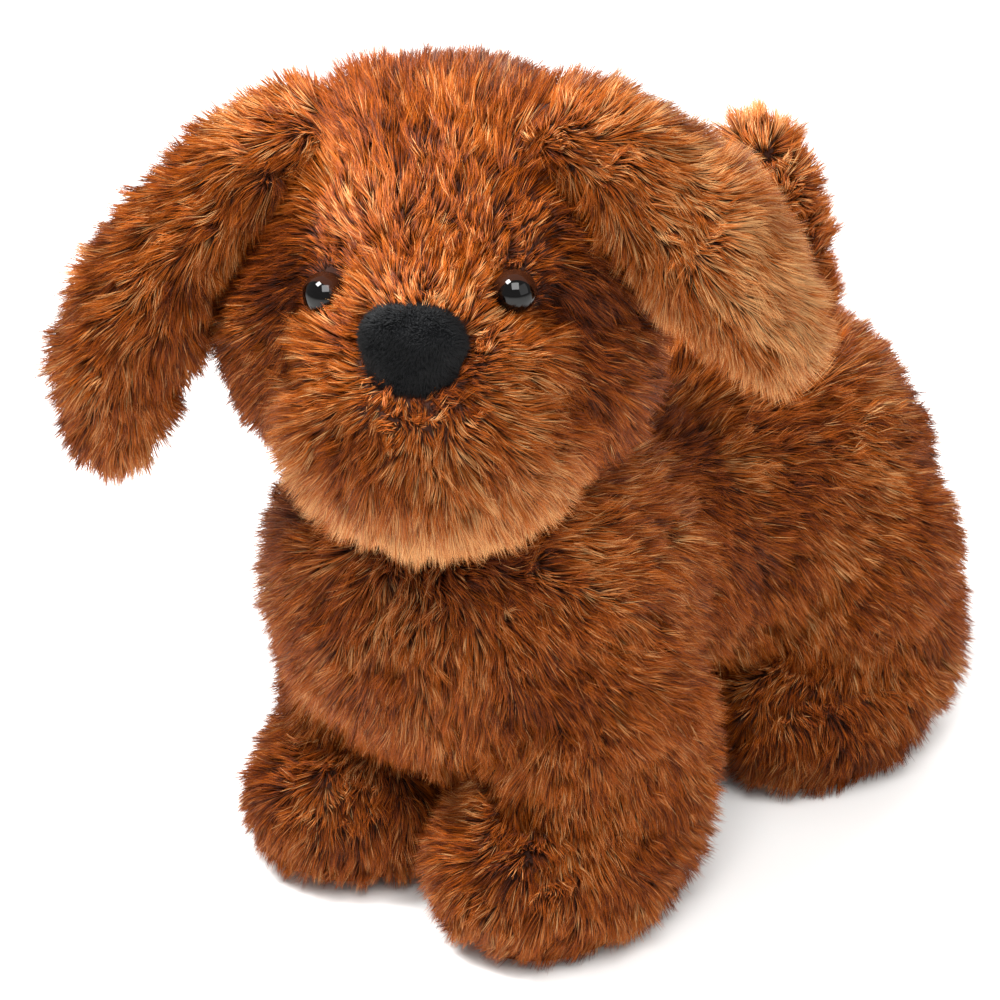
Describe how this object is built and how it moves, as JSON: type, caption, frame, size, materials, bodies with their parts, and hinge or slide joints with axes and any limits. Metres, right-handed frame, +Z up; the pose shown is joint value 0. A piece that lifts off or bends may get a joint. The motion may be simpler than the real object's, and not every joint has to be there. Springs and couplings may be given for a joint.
{
  "type": "plush dog",
  "caption": "Small standing plush dog in long chestnut pile with a round muzzle, dark button eyes, a black cloth nose, drooping ears and an upright tail.",
  "frame": {"origin": "centre of the bounding box on the floor the soles stand on", "axes": "+Z up, the dog faces -Y, its left side is +X"},
  "size_m": [0.1942, 0.2642, 0.2602],
  "materials": {
    "brown_plush": "long pile faux fur, matte with a soft sheen",
    "lining_plush": "shorter pile, matte",
    "sole_plush": "pile pressed flat, matte",
    "stuffing": "polyester fibre fill",
    "nose_cloth": "short nap, matte",
    "eye_plastic": "polished dome",
    "washer_plastic": "moulded"
  },
  "bodies": {
    "trunk": {"chest_cover_left": "brown_plush", "chest_cover_right": "brown_plush", "rump_cover_left": "brown_plush", "rump_cover_right": "brown_plush", "belly_gusset": "brown_plush", "trunk_stuffing": "stuffing"},
    "neck": {"neck_stuffing": "stuffing"},
    "head": {"crown_panel": "brown_plush", "head_side_left": "brown_plush", "head_side_right": "brown_plush", "head_stuffing": "stuffing", "muzzle_cover": "brown_plush", "muzzle_stuffing": "stuffing", "nose": "nose_cloth", "eye_left": "eye_plastic", "eye_right": "eye_plastic", "eye_washers": "washer_plastic"},
    "ear_left": {"ear_outer_left": "brown_plush", "ear_lining_left": "lining_plush"},
    "ear_right": {"ear_outer_right": "brown_plush", "ear_lining_right": "lining_plush"},
    "tail_root": {"tail_root_stuffing": "stuffing"},
    "tail": {"tail_cover_left": "brown_plush", "tail_cover_right": "brown_plush", "tail_stuffing": "stuffing"},
    "front_leg_left": {"front_leg_left_cover": "brown_plush", "front_leg_left_sole": "sole_plush", "front_leg_left_stuffing": "stuffing"},
    "front_leg_right": {"front_leg_right_cover": "brown_plush", "front_leg_right_sole": "sole_plush", "front_leg_right_stuffing": "stuffing"},
    "hind_leg_left": {"hind_leg_left_cover": "brown_plush", "hind_leg_left_sole": "sole_plush", "hind_leg_left_stuffing": "stuffing"},
    "hind_leg_right": {"hind_leg_right_cover": "brown_plush", "hind_leg_right_sole": "sole_plush", "hind_leg_right_stuffing": "stuffing"}
  },
  "joints": [
    {"name": "neck_turn", "type": "hinge", "parent": "trunk", "child": "neck", "pos_m": [-0.00363, -0.05094, 0.152], "axis": [0, 0, 1], "range_deg": [-20, 20], "stiffness_Nm_per_rad": 1.5},
    {"name": "head_nod", "type": "hinge", "parent": "neck", "child": "head", "pos_m": [-0.00363, -0.05094, 0.152], "axis": [0.891, 0.454, 0], "range_deg": [-10, 3], "stiffness_Nm_per_rad": 2},
    {"name": "ear_flap_left", "type": "hinge", "parent": "head", "child": "ear_left", "pos_m": [0.03023, -0.03869, 0.247], "axis": [0.454, -0.891, 0], "range_deg": [-5, 30], "stiffness_Nm_per_rad": 0.2},
    {"name": "ear_flap_right", "type": "hinge", "parent": "head", "child": "ear_right", "pos_m": [-0.03749, -0.07319, 0.247], "axis": [0.454, -0.891, 0], "range_deg": [-30, 5], "stiffness_Nm_per_rad": 0.2},
    {"name": "tail_wag", "type": "hinge", "parent": "trunk", "child": "tail_root", "pos_m": [-0.00363, 0.11406, 0.121], "axis": [0, 1, 0], "range_deg": [-15, 15], "stiffness_Nm_per_rad": 0.15},
    {"name": "tail_lift", "type": "hinge", "parent": "tail_root", "child": "tail", "pos_m": [-0.00363, 0.11406, 0.121], "axis": [1, 0, 0], "range_deg": [-20, 5], "stiffness_Nm_per_rad": 0.15},
    {"name": "front_leg_swing_left", "type": "hinge", "parent": "trunk", "child": "front_leg_left", "pos_m": [0.03437, -0.04094, 0.068], "axis": [1, 0, 0], "range_deg": [-15, 15], "stiffness_Nm_per_rad": 3},
    {"name": "front_leg_swing_right", "type": "hinge", "parent": "trunk", "child": "front_leg_right", "pos_m": [-0.04163, -0.04094, 0.068], "axis": [1, 0, 0], "range_deg": [-15, 15], "stiffness_Nm_per_rad": 3},
    {"name": "hind_leg_swing_left", "type": "hinge", "parent": "trunk", "child": "hind_leg_left", "pos_m": [0.03437, 0.08906, 0.066], "axis": [1, 0, 0], "range_deg": [-15, 15], "stiffness_Nm_per_rad": 3},
    {"name": "hind_leg_swing_right", "type": "hinge", "parent": "trunk", "child": "hind_leg_right", "pos_m": [-0.04163, 0.08906, 0.066], "axis": [1, 0, 0], "range_deg": [-15, 15], "stiffness_Nm_per_rad": 3}
  ]
}
